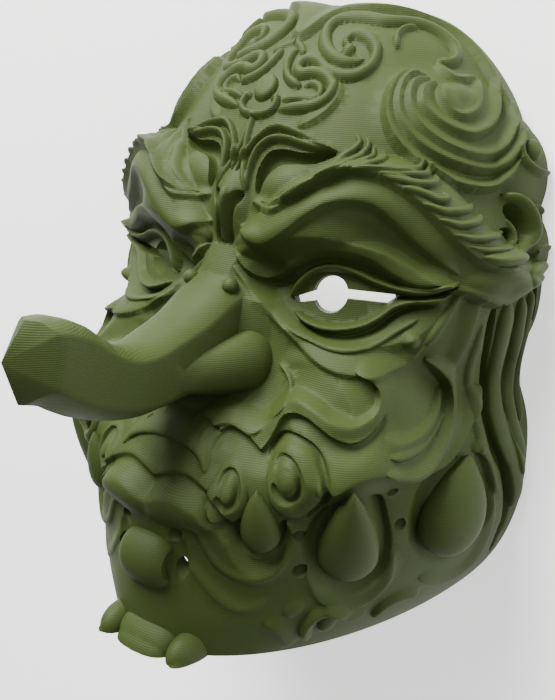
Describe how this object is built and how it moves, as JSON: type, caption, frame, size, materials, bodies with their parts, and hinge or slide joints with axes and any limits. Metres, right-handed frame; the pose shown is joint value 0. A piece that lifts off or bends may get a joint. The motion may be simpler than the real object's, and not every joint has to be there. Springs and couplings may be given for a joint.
{
  "type": "tengu mask",
  "caption": "Printed face mask of a long-nosed mythical creature, with heavy carved brows, eye slits, fangs and scrolls, hollow behind and open below the jaw.",
  "frame": {"origin": "middle of the plane of the back rim, which the mask lies on", "axes": "+Z out of the face, +Y towards the crown, +X to the right as seen from the front"},
  "size_m": [0.1656, 0.202, 0.162],
  "materials": {
    "shell": "matte olive green plastic with fine printed layer lines square to Y"
  },
  "bodies": {
    "root": {"mask": "shell"}
  },
  "joints": []
}
